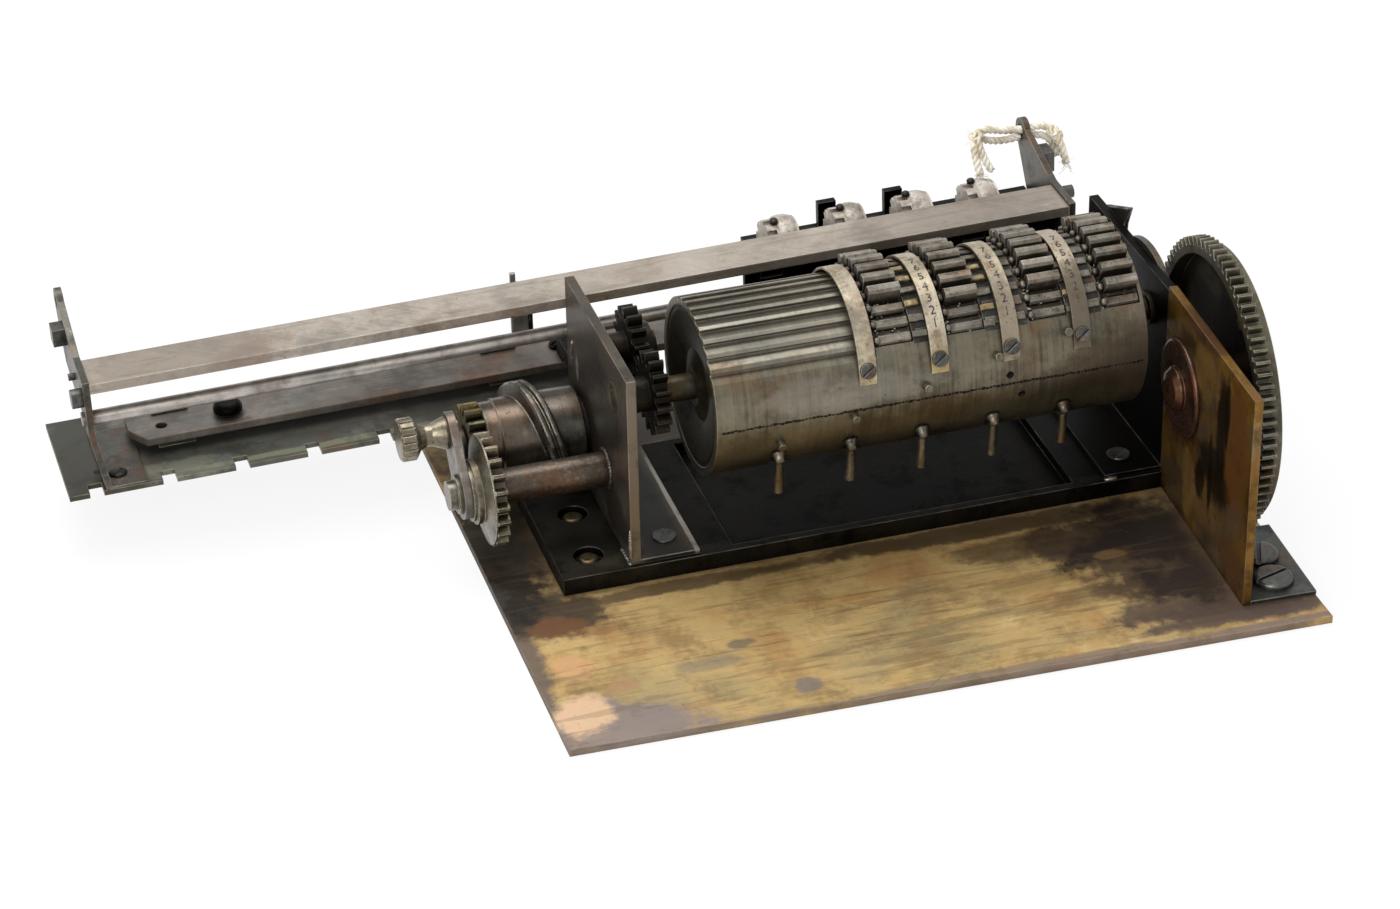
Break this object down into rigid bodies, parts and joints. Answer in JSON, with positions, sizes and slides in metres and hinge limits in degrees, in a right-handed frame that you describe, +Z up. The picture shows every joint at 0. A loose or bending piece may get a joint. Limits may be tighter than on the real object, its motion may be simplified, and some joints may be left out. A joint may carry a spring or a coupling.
{
  "type": "pinwheel calculating machine model",
  "caption": "Pinwheel calculating machine model: open frame with a toothed setting drum, shift crank and hub, big gear wheel and a notched sliding carriage.",
  "frame": {"origin": "centre of the base plate's underside, straight below the middle of the setting drum", "axes": "+X along the drum axis towards the big gear, +Y towards the carriage at the back, +Z up"},
  "size_m": [0.246, 0.1423, 0.0638],
  "materials": {
    "aged_brass": "satin",
    "worn_brass": "satin",
    "copper": "satin",
    "black_steel": "satin",
    "grey_steel": "brushed",
    "drum_steel": "brushed",
    "dark_steel": "satin",
    "tan_steel": "brushed",
    "bright_steel": "satin",
    "alloy": "satin",
    "cotton": "matte"
  },
  "bodies": {
    "frame": {"base_plate": "aged_brass", "bed_plate": "black_steel", "bed_screws": "worn_brass", "left_side_plate": "grey_steel", "right_side_plate": "dark_steel", "frame_screws": "dark_steel", "drum_bearings": "worn_brass", "bearing_cover_disc": "bright_steel", "bearing_plate": "aged_brass", "bearing_plate_foot": "dark_steel", "gear_boss": "copper", "crank_bearing_tube": "grey_steel", "hub_stud": "grey_steel", "idler_stud": "dark_steel", "carriage_rail": "grey_steel", "rail_screws": "black_steel", "rail_bracket": "dark_steel"},
    "drum": {"drum_shell": "drum_steel", "digit_strips": "tan_steel", "strip_screws": "worn_brass", "drum_ends": "drum_steel", "drum_shaft": "dark_steel", "drum_collars": "worn_brass", "drum_gear": "dark_steel", "carry_pins": "drum_steel", "fixed_teeth_1": "drum_steel", "fixed_teeth_2": "drum_steel", "fixed_teeth_3": "drum_steel", "fixed_teeth_4": "drum_steel"},
    "idler": {"idler_gear": "dark_steel"},
    "crank": {"crank_spindle": "bright_steel", "crank_gear": "worn_brass", "crank_arm": "grey_steel", "crank_knob": "bright_steel"},
    "hub": {"shift_hub": "grey_steel", "hub_pinion": "worn_brass"},
    "big_gear": {"big_gear": "dark_steel"},
    "carriage": {"notched_plate": "dark_steel", "left_bracket": "bright_steel", "right_bracket": "grey_steel", "top_bar": "tan_steel", "carriage_rod": "tan_steel", "wheel_shaft": "dark_steel", "rear_bar": "black_steel", "carriage_nuts": "dark_steel", "lever_wire": "bright_steel", "string": "cotton"},
    "tooth_1": {"moving_tooth_1": "drum_steel"},
    "tooth_2": {"moving_tooth_2": "drum_steel"},
    "tooth_3": {"moving_tooth_3": "drum_steel"},
    "tooth_4": {"moving_tooth_4": "drum_steel"},
    "ring_1": {"setting_ring_1": "grey_steel"},
    "ring_2": {"setting_ring_2": "grey_steel"},
    "ring_3": {"setting_ring_3": "grey_steel"},
    "ring_4": {"setting_ring_4": "grey_steel"},
    "ring_5": {"setting_ring_5": "grey_steel"},
    "wheel_1": {"number_wheel_1": "alloy"},
    "wheel_2": {"number_wheel_2": "alloy"},
    "wheel_3": {"number_wheel_3": "alloy"},
    "wheel_4": {"number_wheel_4": "alloy"}
  },
  "joints": [
    {"name": "drum_spin", "type": "hinge", "parent": "frame", "child": "drum", "pos_m": [0, 0, 0.0407], "axis": [1, 0, 0], "continuous": true},
    {"name": "idler_spin", "type": "hinge", "parent": "frame", "child": "idler", "pos_m": [-0.0546, 0.01568, 0.04318], "axis": [1, 0, 0], "continuous": true},
    {"name": "crank_turn", "type": "hinge", "parent": "frame", "child": "crank", "pos_m": [-0.0846, 0.0075, 0.0193], "axis": [1, 0, 0], "range_deg": [0, 1542.88]},
    {"name": "hub_turn", "type": "hinge", "parent": "frame", "child": "hub", "pos_m": [-0.0746, 0.02655, 0.0193], "axis": [1, 0, 0], "range_deg": [-2160.03, 0]},
    {"name": "carriage_slide", "type": "slide", "parent": "frame", "child": "carriage", "axis": [0.9998, 0, 0.0199], "range_m": [0, 0.09525]},
    {"name": "big_gear_spin", "type": "hinge", "parent": "frame", "child": "big_gear", "pos_m": [0.0611, -0.02085, 0.0321], "axis": [0.999, -0.0436, 0], "continuous": true},
    {"name": "tooth_1_slide", "type": "slide", "parent": "drum", "child": "tooth_1", "axis": [0, -0.5075, 0.8616], "range_m": [0, 0.0027]},
    {"name": "tooth_2_slide", "type": "slide", "parent": "drum", "child": "tooth_2", "axis": [0, -0.6494, 0.7604], "range_m": [0, 0.0027]},
    {"name": "tooth_3_slide", "type": "slide", "parent": "drum", "child": "tooth_3", "axis": [0, -0.6494, 0.7604], "range_m": [0, 0.0027]},
    {"name": "tooth_4_slide", "type": "slide", "parent": "drum", "child": "tooth_4", "axis": [0, -0.7716, 0.6361], "range_m": [0, 0.0027]},
    {"name": "ring_1_turn", "type": "hinge", "parent": "drum", "child": "ring_1", "pos_m": [-0.03376, 0, 0.0407], "axis": [1, 0, 0], "range_deg": [0, 90]},
    {"name": "ring_2_turn", "type": "hinge", "parent": "drum", "child": "ring_2", "pos_m": [-0.01789, 0, 0.0407], "axis": [1, 0, 0], "range_deg": [0, 90]},
    {"name": "ring_3_turn", "type": "hinge", "parent": "drum", "child": "ring_3", "pos_m": [-0.00201, 0, 0.0407], "axis": [1, 0, 0], "range_deg": [0, 90]},
    {"name": "ring_4_turn", "type": "hinge", "parent": "drum", "child": "ring_4", "pos_m": [0.01387, 0, 0.0407], "axis": [1, 0, 0], "range_deg": [0, 90]},
    {"name": "ring_5_turn", "type": "hinge", "parent": "drum", "child": "ring_5", "pos_m": [0.02974, 0, 0.0407], "axis": [1, 0, 0], "range_deg": [0, 90]},
    {"name": "wheel_1_spin", "type": "hinge", "parent": "carriage", "child": "wheel_1", "pos_m": [-0.00899, 0.0585, 0.03761], "axis": [0.9998, 0, 0.0199], "continuous": true},
    {"name": "wheel_2_spin", "type": "hinge", "parent": "carriage", "child": "wheel_2", "pos_m": [0.00689, 0.0585, 0.03793], "axis": [0.9998, 0, 0.0199], "continuous": true},
    {"name": "wheel_3_spin", "type": "hinge", "parent": "carriage", "child": "wheel_3", "pos_m": [0.02276, 0.0585, 0.03824], "axis": [0.9998, 0, 0.0199], "continuous": true},
    {"name": "wheel_4_spin", "type": "hinge", "parent": "carriage", "child": "wheel_4", "pos_m": [0.03863, 0.0585, 0.03856], "axis": [0.9998, 0, 0.0199], "continuous": true}
  ],
  "couplings": [
    {"joint": "idler_spin", "follows": "drum_spin", "ratio": -1},
    {"joint": "crank_turn", "follows": "carriage_slide", "rad_per_m": 282.71},
    {"joint": "hub_turn", "follows": "carriage_slide", "rad_per_m": -395.79}
  ]
}
